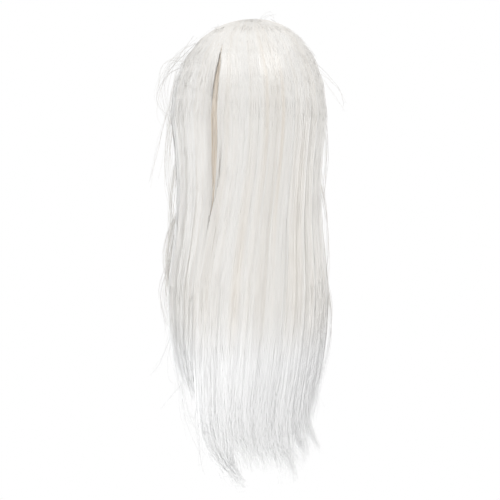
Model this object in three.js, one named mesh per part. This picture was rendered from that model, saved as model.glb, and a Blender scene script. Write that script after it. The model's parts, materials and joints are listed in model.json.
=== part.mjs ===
// A long straight wig as it hangs on a head: an open net cap, the whorl of hair at its crown, and four falls
// of hair that start round the whorl: the long back, two shorter sides and a plain fringe over the brow.
// Millimetres, +Z up. The face looks along -Y and the wearer's left is +X. The origin is the point inside the
// cap where the top of the head touches it.
//
// A place on the wig is given by an angle and a way. The angle runs in degrees from the middle of the back
// towards the wearer's left. The way is 0 at the crown, 1 at the widest ring of the head and 2 at the longest
// tip, so hair falls along it.
import * as THREE from "three";

// The head that the cap is made for
const headHalfWidth = 77;
const headHalfDepth = 96;
const crownHeight = 110; // from the widest ring of the head up to its crown
const crownBack = 20; // from the middle of the widest ring back to the crown
const domeFullness = 2.2; // 2 is an ellipsoid, more is squarer

// The cap
const capWall = 1.5;
const capColumns = 36;
const capRings = 11;
const napeTuck = 0.5; // how sharply the cap draws in below the widest ring

// The hair
const hairGap = 0.8; // between the hair and the cap, and between one fall and the next
const hairOverCrown = 13.9;
const hairAtSides = 19.9;
const backFall = 461; // from the widest ring down to the longest tip
const sideFall = 355;
const fringeFall = 70; // in degrees of the dome, from the crown down to the brow
const whorlEdge = 13; // in degrees of the dome
const whorlLocks = 14;
const whorlDimple = 0.85; // how full the whorl is at its middle
const grooveFill = 0.7; // how full the hair is between two locks, where a lock's crest is 1
const edgeFill = 0.25; // and at the two outer edges of a fall
const partingWidth = 9; // the slit behind the wearer's left ear, at its widest
const tipFill = 0.12; // half a lock's thickness at its tip, as a share of the fall's
const looseRings = 4; // over how many rings from its tip a lock swings away
const swinging = 3; // how late it swings: 1 is evenly, more is nearer its tip
const narrowing = 2.2; // how late it narrows
const thinning = 2; // how late it thins

// The cap's lower edge, as shares of the crown's height below the crown
const capEdge = [
  { angle: 0, drop: 1.5 },
  { angle: 50, drop: 1.42 },
  { angle: 82, drop: 0.92 },
  { angle: 108, drop: 1.02 },
  { angle: 140, drop: 0.7 },
  { angle: 180, drop: 0.53 },
];

// The outside of the hair below the widest ring: its half width and half depth as shares of those at the
// ring, and the hair's thickness as a share of that at the ring
const sleeve = [
  { way: 1.0, width: 1.0, depth: 1.0, thick: 1.0 },
  { way: 1.1, width: 0.945, depth: 0.965, thick: 0.95 },
  { way: 1.24, width: 0.92, depth: 0.925, thick: 0.9 },
  { way: 1.38, width: 1.0, depth: 0.905, thick: 0.88 },
  { way: 1.47, width: 1.055, depth: 0.885, thick: 0.84 },
  { way: 1.57, width: 1.045, depth: 0.86, thick: 0.78 },
  { way: 1.66, width: 0.998, depth: 0.83, thick: 0.72 },
  { way: 1.74, width: 0.915, depth: 0.8, thick: 0.66 },
  { way: 1.8, width: 0.84, depth: 0.775, thick: 0.6 },
  { way: 1.87, width: 0.785, depth: 0.755, thick: 0.54 },
  { way: 2.0, width: 0.76, depth: 0.72, thick: 0.44 },
];

// Where one fall ends and the next begins: the angle, and how far the slit between them stands open as a
// share of the parting's width
const leftParting = [
  { way: 0.0, angle: 54, open: 0 },
  { way: 0.45, angle: 51.5, open: 0.05 },
  { way: 0.76, angle: 48.3, open: 0.7 },
  { way: 1.03, angle: 49, open: 1 },
  { way: 1.14, angle: 51.5, open: 0.8 },
  { way: 1.26, angle: 55, open: 0.1 },
  { way: 1.4, angle: 57.5, open: 0 },
  { way: 1.6, angle: 61, open: 0 },
  { way: 1.74, angle: 67.5, open: 0 },
  { way: 1.84, angle: 76, open: 0 },
  { way: 2.0, angle: 77, open: 0 },
];
const rightParting = [
  { way: 0.0, angle: -72, open: 0 },
  { way: 1.0, angle: -74, open: 0 },
  { way: 1.5, angle: -76, open: 0 },
  { way: 2.0, angle: -74, open: 0 },
];
const leftTemple = [
  { way: 0.0, angle: 140, open: 0 },
  { way: 1.0, angle: 139, open: 0 },
  { way: 2.0, angle: 131, open: 0 },
];
const rightTemple = leftTemple.map((row) => ({ ...row, angle: 360 - row.angle }));

// The locks of each fall, from the wearer's left to their right as seen from behind. Width is a share of the
// fall's and length a share of its drop. Free is how many rings of a lock hang loose from the lock before it.
// Sweep is how far its tip swings towards the wearer's right and lift how far it stands off the head, as
// shares of the hair's thickness at the sides. Tip is its width at the tip, as a share of its width, and full
// how thick it is.
const backLocks = [
  { width: 0.135, length: 1.0, free: 3, sweep: 2.45, lift: 0.1, tip: 0.12, full: 1.0 },
  { width: 0.115, length: 0.955, free: 2, sweep: 0.45, lift: 0, tip: 0.15, full: 0.95 },
  { width: 0.115, length: 0.945, free: 2, sweep: 0.55, lift: 0, tip: 0.5, full: 1.0 },
  { width: 0.115, length: 0.955, free: 1, sweep: 0.6, lift: 0, tip: 0.7, full: 0.96 },
  { width: 0.07, length: 0.985, free: 1, sweep: 0.95, lift: 0, tip: 0.4, full: 1.0 },
  { width: 0.07, length: 0.985, free: 1, sweep: 1.3, lift: 0.15, tip: 0.25, full: 0.96 },
  { width: 0.08, length: 0.93, free: 2, sweep: 1.4, lift: 0.5, tip: 0.3, full: 1.0 },
  { width: 0.08, length: 0.915, free: 1, sweep: 1.4, lift: 1.05, tip: 0.2, full: 0.96 },
  { width: 0.11, length: 0.88, free: 2, sweep: 0.1, lift: 0, tip: 0.15, full: 1.0 },
  { width: 0.11, length: 0.83, free: 3, sweep: 0.1, lift: 0.1, tip: 0.15, full: 0.98 },
];
const leftLocks = [
  { width: 0.16, length: 0.86, free: 4, sweep: 0, lift: 0.1, tip: 0.15, full: 0.92 },
  { width: 0.18, length: 0.92, free: 4, sweep: 0, lift: 0, tip: 0.2, full: 1.0 },
  { width: 0.16, length: 0.96, free: 3, sweep: 0.1, lift: 0.1, tip: 0.15, full: 0.97 },
  { width: 0.18, length: 0.97, free: 4, sweep: 0.1, lift: 0, tip: 0.2, full: 1.0 },
  { width: 0.16, length: 1.0, free: 3, sweep: 0.1, lift: 0, tip: 0.3, full: 0.94 },
  { width: 0.16, length: 0.98, free: 3, sweep: 0, lift: 0, tip: 0.3, full: 0.98 },
];
const rightLocks = [
  { width: 0.18, length: 1.0, free: 4, sweep: 0, lift: 0, tip: 0.2, full: 0.97 },
  { width: 0.17, length: 0.95, free: 3, sweep: 0.1, lift: 0, tip: 0.15, full: 1.0 },
  { width: 0.16, length: 1.0, free: 4, sweep: 0.1, lift: 0.1, tip: 0.15, full: 0.94 },
  { width: 0.18, length: 0.93, free: 3, sweep: 0, lift: 0, tip: 0.2, full: 1.0 },
  { width: 0.16, length: 0.96, free: 4, sweep: -0.1, lift: 0, tip: 0.15, full: 0.95 },
  { width: 0.15, length: 0.88, free: 4, sweep: 0, lift: 0.1, tip: 0.15, full: 0.92 },
];
const fringeLocks = [
  { width: 0.13, length: 1.02, free: 2, sweep: 0, lift: 0, tip: 0.3, full: 0.94 },
  { width: 0.15, length: 0.98, free: 2, sweep: 0, lift: 0, tip: 0.35, full: 1.0 },
  { width: 0.15, length: 1.01, free: 2, sweep: 0.05, lift: 0, tip: 0.3, full: 0.95 },
  { width: 0.14, length: 0.97, free: 2, sweep: 0, lift: 0, tip: 0.35, full: 1.0 },
  { width: 0.15, length: 1.0, free: 2, sweep: -0.05, lift: 0, tip: 0.3, full: 0.94 },
  { width: 0.15, length: 0.98, free: 2, sweep: 0, lift: 0, tip: 0.35, full: 1.0 },
  { width: 0.13, length: 1.02, free: 2, sweep: 0, lift: 0, tip: 0.3, full: 0.95 },
];

// A lock's columns from its left edge to its right: their places across it and how full the hair is there
const lockColumns = [
  { across: 0, fill: grooveFill },
  { across: 0.22, fill: 0.9 },
  { across: 0.5, fill: 1 },
  { across: 0.78, fill: 0.9 },
  { across: 1, fill: grooveFill },
];

// The rings of a long fall, as shares of the dome and then of the drop below it, and those of the fringe
const domeRings = [0, 0.13, 0.26, 0.39, 0.52, 0.64, 0.76, 0.88, 1];
const dropRings = [0.09, 0.19, 0.3, 0.4, 0.5, 0.6, 0.69, 0.77, 0.84, 0.9, 0.95, 1];
const fringeRings = [0, 0.14, 0.28, 0.42, 0.56, 0.7, 0.82, 0.92, 1];

const hair = new THREE.MeshStandardMaterial({ color: 0xf1eeea, roughness: 0.38, metalness: 0 });
const net = new THREE.MeshStandardMaterial({ color: 0xd9bf9f, roughness: 0.85, metalness: 0 });

const hairHalfWidth = headHalfWidth + capWall + hairAtSides;
const hairHalfDepth = headHalfDepth + capWall + hairAtSides;
const hairHeight = crownHeight + capWall + hairOverCrown;
const inner = {
  width: headHalfWidth + capWall + hairGap,
  depth: headHalfDepth + capWall + hairGap,
  height: crownHeight + capWall + hairGap,
};

// The value of a column at a place between a table's rows, on a smooth curve through them
function read(rows, place, column, at) {
  const last = rows.length - 1;
  const found = rows.findIndex((row) => row[place] >= at);
  const i = Math.max(found < 0 ? last : found, 1);
  const slope = (j) => {
    const before = rows[Math.max(j - 1, 0)];
    const after = rows[Math.min(j + 1, last)];
    return (after[column] - before[column]) / (after[place] - before[place]);
  };
  const span = rows[i][place] - rows[i - 1][place];
  const t = THREE.MathUtils.clamp((at - rows[i - 1][place]) / span, 0, 1);
  return (
    (1 + 2 * t) * (1 - t) ** 2 * rows[i - 1][column] +
    t * (1 - t) ** 2 * span * slope(i - 1) +
    t * t * (3 - 2 * t) * rows[i][column] +
    t * t * (t - 1) * span * slope(i)
  );
}

// How wide the dome is, as a share of its widest ring, where it stands at a share of its height above it
function domeWidth(rise) {
  return (1 - rise ** domeFullness) ** (1 / domeFullness);
}

// A point of a ring round the head. Wide is the ring's size as a share of the widest ring, whose middle lies
// in front of the crown.
function onRing(angle, { width, depth, wide, z }) {
  const turn = THREE.MathUtils.degToRad(angle);
  const y = depth * Math.cos(turn) - crownBack;
  return new THREE.Vector3(wide * width * Math.sin(turn), wide * y, z - crownHeight);
}

// A point in the hair: full is 0 at its inside and 1 at its outside
function inHair(angle, way, full) {
  if (way <= 1) {
    const size = (from, to) => THREE.MathUtils.lerp(from, to, full);
    const rise = Math.cos((way * Math.PI) / 2) ** (2 / domeFullness);
    return onRing(angle, {
      width: size(inner.width, hairHalfWidth),
      depth: size(inner.depth, hairHalfDepth),
      wide: domeWidth(rise),
      z: size(inner.height, hairHeight) * rise,
    });
  }
  const inward = (hairAtSides - hairGap) * read(sleeve, "way", "thick", way) * (1 - full);
  return onRing(angle, {
    width: hairHalfWidth * read(sleeve, "way", "width", way) - inward,
    depth: hairHalfDepth * read(sleeve, "way", "depth", way) - inward,
    wide: 1,
    z: (1 - way) * backFall,
  });
}

// Degrees round the head that a length takes up at the inside of the hair
function degreesOf(length, angle, way) {
  const place = inHair(angle, way, 0);
  const middle = way < 1 ? Math.sin((way * Math.PI) / 2) : 1;
  return THREE.MathUtils.radToDeg(length / Math.hypot(place.x, place.y + middle * crownBack));
}

// Half of the slit between two falls, in degrees
function halfSlit(parting, angle, way) {
  const open = Math.max(read(parting, "way", "open", way), 0);
  return degreesOf((hairGap + partingWidth * open) / 2, angle, way);
}

// A mesh of loose triangles; each four corners given make two
class Skin {
  constructor() {
    this.corners = [];
  }
  triangle(a, b, c) {
    this.corners.push(a, b, c);
  }
  quad(a, b, c, d) {
    this.triangle(a, b, c);
    this.triangle(a, c, d);
  }
  mesh(name, material) {
    const geometry = new THREE.BufferGeometry().setFromPoints(this.corners);
    geometry.computeVertexNormals();
    const made = new THREE.Mesh(geometry, material);
    made.name = name;
    return made;
  }
}

// The net cap: a shell over the head from the crown to its edge
function cap() {
  const skin = new Skin();
  const point = (column, ring, wall) => {
    const angle = (360 * column) / capColumns;
    const turned = angle > 180 ? 360 - angle : angle;
    const edge = read(capEdge, "angle", "drop", turned);
    const drop = edge * (1 - Math.cos(((ring / capRings) * Math.PI) / 2));
    const above = drop < 1;
    return onRing(angle, {
      width: headHalfWidth + wall,
      depth: headHalfDepth + wall,
      wide: above ? domeWidth(1 - drop) : 1 - napeTuck * (drop - 1) ** 2,
      z: (above ? crownHeight + wall : crownHeight) * (1 - drop),
    });
  };
  for (let column = 0; column < capColumns; column++) {
    const next = (column + 1) % capColumns;
    skin.triangle(point(0, 0, capWall), point(next, 1, capWall), point(column, 1, capWall));
    skin.triangle(point(0, 0, 0), point(column, 1, 0), point(next, 1, 0));
    for (let ring = 1; ring < capRings; ring++) {
      const corners = (wall) => [
        point(column, ring, wall),
        point(next, ring, wall),
        point(next, ring + 1, wall),
        point(column, ring + 1, wall),
      ];
      skin.quad(...corners(capWall));
      skin.quad(...corners(0).reverse());
    }
    skin.quad(
      point(column, capRings, capWall),
      point(next, capRings, capWall),
      point(next, capRings, 0),
      point(column, capRings, 0),
    );
  }
  return skin.mesh("cap", net);
}

// The whorl: a ridged disc of hair at the crown, where every fall begins
function whorl() {
  const skin = new Skin();
  const columns = whorlLocks * 2;
  const edge = whorlEdge / 90;
  const rings = [0, 0.5, 1];
  const point = (column, ring, outside) => {
    const ridge = column % 2 ? 1 : (1 + grooveFill) / 2;
    const full = outside ? THREE.MathUtils.lerp(whorlDimple, ridge, rings[ring]) : 0;
    return inHair((360 * column) / columns, edge * rings[ring], full);
  };
  for (let column = 0; column < columns; column++) {
    const next = (column + 1) % columns;
    skin.triangle(point(0, 0, true), point(next, 1, true), point(column, 1, true));
    skin.triangle(point(0, 0, false), point(column, 1, false), point(next, 1, false));
    for (let ring = 1; ring < rings.length - 1; ring++) {
      const corners = (outside) => [
        point(column, ring, outside),
        point(next, ring, outside),
        point(next, ring + 1, outside),
        point(column, ring + 1, outside),
      ];
      skin.quad(...corners(true));
      skin.quad(...corners(false).reverse());
    }
    const last = rings.length - 1;
    skin.quad(
      point(column, last, true),
      point(next, last, true),
      point(next, last, false),
      point(column, last, false),
    );
  }
  return skin.mesh("crown_whorl", hair);
}

// The ways of a fall's rings for a lock of some length
const fallStart = (whorlEdge + degreesOf(hairGap, 0, whorlEdge / 90) / 2) / 90;
const longWays = (fall) => (length) => [
  ...domeRings.map((share) => THREE.MathUtils.lerp(fallStart, 1, share)),
  ...dropRings.map((share) => 1 + (share * length * fall) / backFall),
];
const fringeWays = (length) =>
  fringeRings.map((share) => THREE.MathUtils.lerp(fallStart, (fringeFall / 90) * length, share));

// One fall of hair between two partings: locks side by side, joined above their slits and free below
function fallOfHair(name, { left, right, locks, waysOf }) {
  const skin = new Skin();
  const total = locks.reduce((sum, lock) => sum + lock.width, 0);
  const ends = locks.map((lock, i) => locks.slice(0, i + 1).reduce((sum, l) => sum + l.width, 0) / total);
  const last = waysOf(1).length - 1;

  // How far a lock has swung away at a ring, from 0 to 1
  const swung = (ring) => (Math.max(ring - last + looseRings, 0) / looseRings) ** swinging;
  const swing = (reach, ring) => reach * hairAtSides * swung(ring);

  // The line between lock i - 1 and lock i, or an outer edge of the fall, at a ring
  const border = (i, ring) => {
    const before = locks[Math.max(i - 1, 0)];
    const after = locks[Math.min(i, locks.length - 1)];
    const way = waysOf(Math.min(before.length, after.length))[ring];
    const from = read(left, "way", "angle", way) - halfSlit(left, left[0].angle, way);
    const to = read(right, "way", "angle", way) + halfSlit(right, right[0].angle, way);
    return {
      angle: THREE.MathUtils.lerp(from, to, i ? ends[i - 1] : 0),
      way,
      swept: swing((before.sweep + after.sweep) / 2, ring),
      lifted: swing((before.lift + after.lift) / 2, ring),
    };
  };

  // The ring where the slit before lock i begins, and how far a ring lies from there to the tip, from 0 to 1
  const slitOf = (i) => last - locks[Math.min(i, locks.length - 1)].free;
  const freeOf = (slit, ring) => Math.max(ring - slit, 0) / (last - slit);

  // How full the hair is at a column of lock i
  const fillOf = (i, across, fill) => {
    const outerEdge = (i === 0 && across === 0) || (i === locks.length - 1 && across === 1);
    if (outerEdge) return edgeFill;
    return fill === grooveFill ? grooveFill : fill * locks[i].full;
  };

  const column = (i, ring, { across, fill }) => {
    const lock = locks[i];
    const slit = slitOf(across < 0.5 ? i : i + 1);
    const firstSlit = Math.min(slitOf(i), slitOf(i + 1));
    const [a, b] = [border(i, ring), border(i + 1, ring)];
    const middle = {
      angle: (a.angle + b.angle) / 2,
      way: waysOf(lock.length)[ring],
      swept: swing(lock.sweep, ring),
      lifted: swing(lock.lift, ring),
    };
    const side = across < 0.5 ? a : b;
    const out = Math.abs(across - 0.5) * 2; // 0 on the crest and 1 on an edge
    const free = freeOf(slit, ring);
    const between = (key) => {
      const atEdge = THREE.MathUtils.lerp(side[key], middle[key], free);
      return THREE.MathUtils.lerp(middle[key], atEdge, out);
    };
    const way = between("way");
    const spread = THREE.MathUtils.lerp(1, lock.tip, free ** narrowing);
    const thin = THREE.MathUtils.lerp(freeOf(firstSlit, ring) ** thinning, free ** thinning, out);
    const hangsAt = THREE.MathUtils.lerp(middle.angle, side.angle, out * spread);
    const angle = hangsAt - degreesOf(between("swept"), hangsAt, way);
    const turn = THREE.MathUtils.degToRad(angle);
    const off = new THREE.Vector3(Math.sin(turn), Math.cos(turn), 0).multiplyScalar(between("lifted"));
    const crest = fillOf(i, across, fill);
    return {
      outside: inHair(angle, way, THREE.MathUtils.lerp(crest, 0.5 + tipFill, thin)).add(off),
      inside: inHair(angle, way, THREE.MathUtils.lerp(0, 0.5 - tipFill, thin)).add(off),
    };
  };

  locks.forEach((_, i) => {
    const rows = [];
    for (let ring = 0; ring <= last; ring++) rows.push(lockColumns.map((place) => column(i, ring, place)));
    const end = lockColumns.length - 1;
    const leftFree = i === 0 ? 0 : slitOf(i);
    const rightFree = i === locks.length - 1 ? 0 : slitOf(i + 1);
    for (let ring = 0; ring < last; ring++) {
      const [up, down] = [rows[ring], rows[ring + 1]];
      for (let c = 0; c < end; c++) {
        skin.quad(up[c].outside, down[c].outside, down[c + 1].outside, up[c + 1].outside);
        skin.quad(up[c].inside, up[c + 1].inside, down[c + 1].inside, down[c].inside);
      }
      if (ring >= leftFree) skin.quad(up[0].outside, up[0].inside, down[0].inside, down[0].outside);
      if (ring >= rightFree) skin.quad(up[end].outside, down[end].outside, down[end].inside, up[end].inside);
    }
    for (let c = 0; c < end; c++) {
      const [top, tip] = [rows[0], rows[last]];
      skin.quad(top[c].outside, top[c + 1].outside, top[c + 1].inside, top[c].inside);
      skin.quad(tip[c].outside, tip[c].inside, tip[c + 1].inside, tip[c + 1].outside);
    }
  });
  return skin.mesh(name, hair);
}

const rightTempleAhead = rightTemple.map((row) => ({ ...row, angle: row.angle - 360 }));
const backWays = longWays(backFall);
const sideWays = longWays(sideFall);
const falls = {
  back_hair: { left: leftParting, right: rightParting, locks: backLocks, waysOf: backWays },
  left_side_hair: { left: leftTemple, right: leftParting, locks: leftLocks, waysOf: sideWays },
  right_side_hair: { left: rightParting, right: rightTempleAhead, locks: rightLocks, waysOf: sideWays },
  fringe: { left: rightTemple, right: leftTemple, locks: fringeLocks, waysOf: fringeWays },
};

const wig = new THREE.Group();
wig.name = "long_wig";
wig.add(cap(), whorl());
Object.entries(falls).forEach(([name, fall]) => wig.add(fallOfHair(name, fall)));

export default wig;
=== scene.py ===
"""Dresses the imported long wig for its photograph: every fall of hair gets a body and many fine strands, loose
hairs stand off them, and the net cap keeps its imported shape. Metres, +Z up, the face along -Y.

A place on the wig is an angle and a way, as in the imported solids. The angle runs in degrees from the middle of
the back towards the wearer's left. The way is 0 at the crown, 1 at the widest ring of the head and 2 at the
longest tip."""
import json
import math

import bpy
import numpy as np
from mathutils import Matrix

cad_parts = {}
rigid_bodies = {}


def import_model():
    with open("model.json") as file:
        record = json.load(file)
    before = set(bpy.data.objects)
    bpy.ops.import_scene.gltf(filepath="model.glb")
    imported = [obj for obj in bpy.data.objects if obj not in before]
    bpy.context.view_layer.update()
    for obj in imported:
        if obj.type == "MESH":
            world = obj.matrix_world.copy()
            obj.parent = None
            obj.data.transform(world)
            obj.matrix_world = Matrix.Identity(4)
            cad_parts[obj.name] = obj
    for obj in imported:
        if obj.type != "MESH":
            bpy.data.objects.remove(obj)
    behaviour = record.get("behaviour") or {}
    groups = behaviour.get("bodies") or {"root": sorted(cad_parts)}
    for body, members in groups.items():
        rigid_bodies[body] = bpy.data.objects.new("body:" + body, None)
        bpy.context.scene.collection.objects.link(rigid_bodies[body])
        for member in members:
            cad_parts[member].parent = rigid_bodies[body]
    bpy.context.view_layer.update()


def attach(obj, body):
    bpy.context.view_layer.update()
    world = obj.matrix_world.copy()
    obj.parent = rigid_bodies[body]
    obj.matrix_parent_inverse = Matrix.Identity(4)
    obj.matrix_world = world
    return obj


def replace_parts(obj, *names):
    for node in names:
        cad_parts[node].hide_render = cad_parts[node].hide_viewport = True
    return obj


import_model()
random = np.random.default_rng(seed=29)

MM = 0.001

# The head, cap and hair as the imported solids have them
HEAD_HALF_WIDTH = 77 * MM
HEAD_HALF_DEPTH = 96 * MM
CROWN_HEIGHT = 110 * MM
CROWN_BACK = 20 * MM
DOME_FULLNESS = 2.2
CAP_WALL = 1.5 * MM
HAIR_GAP = 0.8 * MM
HAIR_OVER_CROWN = 13.9 * MM
HAIR_AT_SIDES = 19.9 * MM
BACK_FALL = 461 * MM
SIDE_FALL = 355 * MM
FRINGE_FALL = 70 / 90
PARTING_WIDTH = 9 * MM

# How full the hair is at a lock's tip, between two locks and at a fall's outer edge
TIP_FILL = 0.12
GROOVE_FILL = 0.8
EDGE_FILL = 0.25
# How late a lock swings, narrows and thins on the way to its tip
SWINGING, NARROWING, THINNING = 3.0, 2.2, 2.0
# The share of a hanging lock, and of a fringe lock, that hangs straight before it swings
SWINGS_FROM, FRINGE_SWINGS_FROM = 0.77, 0.56

HAIR_HALF_WIDTH = HEAD_HALF_WIDTH + CAP_WALL + HAIR_AT_SIDES
HAIR_HALF_DEPTH = HEAD_HALF_DEPTH + CAP_WALL + HAIR_AT_SIDES
HAIR_HEIGHT = CROWN_HEIGHT + CAP_WALL + HAIR_OVER_CROWN


def rows(names, *values):
    """A short table: one array for each named column."""
    return dict(zip(names.split(), np.array(values, float).T))


# The hanging hair's half width, half depth and thickness, as shares of the same at the widest ring
SLEEVE = rows(
    "way width depth thick",
    (1.0, 1.0, 1.0, 1.0),
    (1.1, 0.945, 0.965, 0.95),
    (1.24, 0.92, 0.925, 0.9),
    (1.38, 1.0, 0.905, 0.88),
    (1.47, 1.055, 0.885, 0.84),
    (1.57, 1.045, 0.86, 0.78),
    (1.66, 0.998, 0.83, 0.72),
    (1.74, 0.915, 0.8, 0.66),
    (1.8, 0.84, 0.775, 0.6),
    (1.87, 0.785, 0.755, 0.54),
    (2.0, 0.76, 0.72, 0.44),
)
# Where two falls meet, and how far the slit between them gapes, as a share of PARTING_WIDTH
LEFT_PARTING = rows(
    "way angle open",
    (0.0, 54, 0),
    (0.45, 51.5, 0.05),
    (0.76, 48.3, 0.7),
    (1.03, 49, 1),
    (1.14, 51.5, 0.8),
    (1.26, 55, 0.1),
    (1.4, 57.5, 0),
    (1.6, 61, 0),
    (1.74, 67.5, 0),
    (1.84, 76, 0),
    (2.0, 77, 0),
)
RIGHT_PARTING = rows("way angle open", (0.0, -72, 0), (1.0, -74, 0), (1.5, -76, 0), (2.0, -74, 0))
SLIT_TO_ITS_EDGE = 5  # degrees
SLIT_RIGHT_EDGE = {**LEFT_PARTING, "angle": LEFT_PARTING["angle"] - SLIT_TO_ITS_EDGE}
LEFT_TEMPLE = rows("way angle open", (0.0, 140, 0), (1.0, 139, 0), (2.0, 131, 0))
RIGHT_TEMPLE = {**LEFT_TEMPLE, "angle": -LEFT_TEMPLE["angle"]}
RIGHT_TEMPLE_AHEAD = {**LEFT_TEMPLE, "angle": 360 - LEFT_TEMPLE["angle"]}

# The locks of each fall, from the wearer's left to their right as seen from behind. Slit is the share of the
# fall below which a lock hangs free of the one before it.
LOCK = "width length slit sweep lift tip full"
BACK_LOCKS = rows(
    LOCK,
    (0.135, 1.0, 0.84, 2.45, 0.1, 0.12, 1.0),
    (0.115, 0.955, 0.9, 0.45, 0, 0.15, 0.95),
    (0.115, 0.945, 0.9, 0.55, 0, 0.5, 1.0),
    (0.115, 0.955, 0.95, 0.6, 0, 0.7, 0.96),
    (0.07, 0.985, 0.95, 0.95, 0, 0.4, 1.0),
    (0.07, 0.985, 0.95, 1.3, 0.15, 0.25, 0.96),
    (0.08, 0.93, 0.9, 1.4, 0.5, 0.3, 1.0),
    (0.08, 0.915, 0.95, 1.4, 1.05, 0.2, 0.96),
    (0.11, 0.88, 0.9, 0.1, 0, 0.15, 1.0),
    (0.11, 0.83, 0.84, 0.1, 0.1, 0.15, 0.98),
)
LEFT_LOCKS = rows(
    LOCK,
    (0.16, 0.86, 0.77, 0, 0.1, 0.15, 0.92),
    (0.18, 0.92, 0.77, 0, 0, 0.2, 1.0),
    (0.16, 0.96, 0.84, 0.1, 0.1, 0.15, 0.97),
    (0.18, 0.97, 0.77, 0.1, 0, 0.2, 1.0),
    (0.16, 1.0, 0.84, 0.1, 0, 0.3, 0.94),
    (0.16, 0.98, 0.84, 0, 0, 0.3, 0.98),
)
RIGHT_LOCKS = rows(
    LOCK,
    (0.18, 1.0, 0.77, 0, 0, 0.2, 0.97),
    (0.17, 0.95, 0.84, 0.1, 0, 0.15, 1.0),
    (0.16, 1.0, 0.77, 0.1, 0.1, 0.15, 0.94),
    (0.18, 0.93, 0.84, 0, 0, 0.2, 1.0),
    (0.16, 0.96, 0.77, -0.1, 0, 0.15, 0.95),
    (0.15, 0.88, 0.77, 0, 0.1, 0.15, 0.92),
)
FRINGE_LOCKS = rows(
    LOCK,
    (0.13, 1.02, 0.82, 0, 0, 0.3, 0.94),
    (0.15, 0.98, 0.82, 0, 0, 0.35, 1.0),
    (0.15, 1.01, 0.82, 0.05, 0, 0.3, 0.95),
    (0.14, 0.97, 0.82, 0, 0, 0.35, 1.0),
    (0.15, 1.0, 0.82, -0.05, 0, 0.3, 0.94),
    (0.15, 0.98, 0.82, 0, 0, 0.35, 1.0),
    (0.13, 1.02, 0.82, 0, 0, 0.3, 0.95),
)

WHORL_EDGE = 13 / 90
SWIRL, SWIRL_EDGE = 24, 0.3  # degrees that the hair turns at the crown, and the way where that ends
DOME_SHARE = 0.28  # of a long hair, the part that lies over the dome
# Each fall's partings and locks, how far it drops below the widest ring, and on which side it meets another
FALLS = {
    "back_hair": dict(left=LEFT_PARTING, right=RIGHT_PARTING, locks=BACK_LOCKS, drop=BACK_FALL, met=(1, 1)),
    "left_side_hair": dict(
        left=LEFT_TEMPLE, right=LEFT_PARTING, locks=LEFT_LOCKS, drop=SIDE_FALL, met=(0, 1)
    ),
    "right_side_hair": dict(
        left=RIGHT_PARTING, right=RIGHT_TEMPLE, locks=RIGHT_LOCKS, drop=SIDE_FALL, met=(1, 0)
    ),
    "fringe": dict(left=RIGHT_TEMPLE_AHEAD, right=LEFT_TEMPLE, locks=FRINGE_LOCKS, drop=0, met=(0, 0)),
}
for fall in FALLS.values():
    width = fall["locks"]["width"]
    fall["ends"] = np.concatenate([[0], np.cumsum(width)]) / width.sum()
    fall["swings_from"] = SWINGS_FROM if fall["drop"] else FRINGE_SWINGS_FROM


def lerp(a, b, t):
    return a + (b - a) * t


def progress(value, start, end):
    """0 up to the start, 1 from the end on, and evenly between them."""
    return np.clip((value - start) / (end - start), 0, 1)


def read(table, place, column, at):
    """The value of a column between a table's rows, on a smooth curve through them."""
    x, y = table[place], table[column]
    slope = np.empty_like(y)
    slope[1:-1] = (y[2:] - y[:-2]) / (x[2:] - x[:-2])
    slope[0] = (y[1] - y[0]) / (x[1] - x[0])
    slope[-1] = (y[-1] - y[-2]) / (x[-1] - x[-2])
    i = np.clip(np.searchsorted(x, at), 1, len(x) - 1)
    span = x[i] - x[i - 1]
    t = np.clip((at - x[i - 1]) / span, 0, 1)
    start = (1 + 2 * t) * (1 - t) ** 2 * y[i - 1] + t * (1 - t) ** 2 * span * slope[i - 1]
    end = t * t * (3 - 2 * t) * y[i] + t * t * (t - 1) * span * slope[i]
    return start + end


def in_hair(angle, way, full):
    """A point in the hair: full is 0 at its inside and 1 at its outside."""
    angle, way, full = np.broadcast_arrays(angle, way, full)
    turn = np.radians(angle)
    over = np.minimum(way, 1)
    rise = np.maximum(np.cos(over * math.pi / 2), 0) ** (2 / DOME_FULLNESS)
    wide = (1 - rise**DOME_FULLNESS) ** (1 / DOME_FULLNESS)
    inside = CAP_WALL + HAIR_GAP
    dome_width = lerp(HEAD_HALF_WIDTH + inside, HAIR_HALF_WIDTH, full)
    dome_depth = lerp(HEAD_HALF_DEPTH + inside, HAIR_HALF_DEPTH, full)
    dome_z = lerp(CROWN_HEIGHT + inside, HAIR_HEIGHT, full) * rise
    inward = (HAIR_AT_SIDES - HAIR_GAP) * read(SLEEVE, "way", "thick", way) * (1 - full)
    drop_width = HAIR_HALF_WIDTH * read(SLEEVE, "way", "width", way) - inward
    drop_depth = HAIR_HALF_DEPTH * read(SLEEVE, "way", "depth", way) - inward
    above = way <= 1
    width = np.where(above, dome_width, drop_width)
    depth = np.where(above, dome_depth, drop_depth)
    wide = np.where(above, wide, 1)
    z = np.where(above, dome_z, (1 - way) * BACK_FALL) - CROWN_HEIGHT
    x = wide * width * np.sin(turn)
    y = wide * (depth * np.cos(turn) - CROWN_BACK)
    return np.stack([x, y, z], axis=-1)


def swirl_at(way):
    """Degrees that the hair turns round the crown."""
    return SWIRL * np.maximum(1 - way / SWIRL_EDGE, 0) ** 2


NEAREST_REACH = 4 * MM  # from the crown's axis, so that a length there stays a small turn


def degrees_of(length, angle, way):
    """Degrees round the head that a length takes up at the inside of the hair."""
    place = in_hair(angle, way, 0.0)
    middle = np.where(way < 1, np.sin(np.minimum(way, 1) * math.pi / 2), 1)
    reach = np.hypot(place[..., 0], place[..., 1] + middle * CROWN_BACK)
    return np.degrees(length / np.maximum(reach, NEAREST_REACH))


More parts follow.
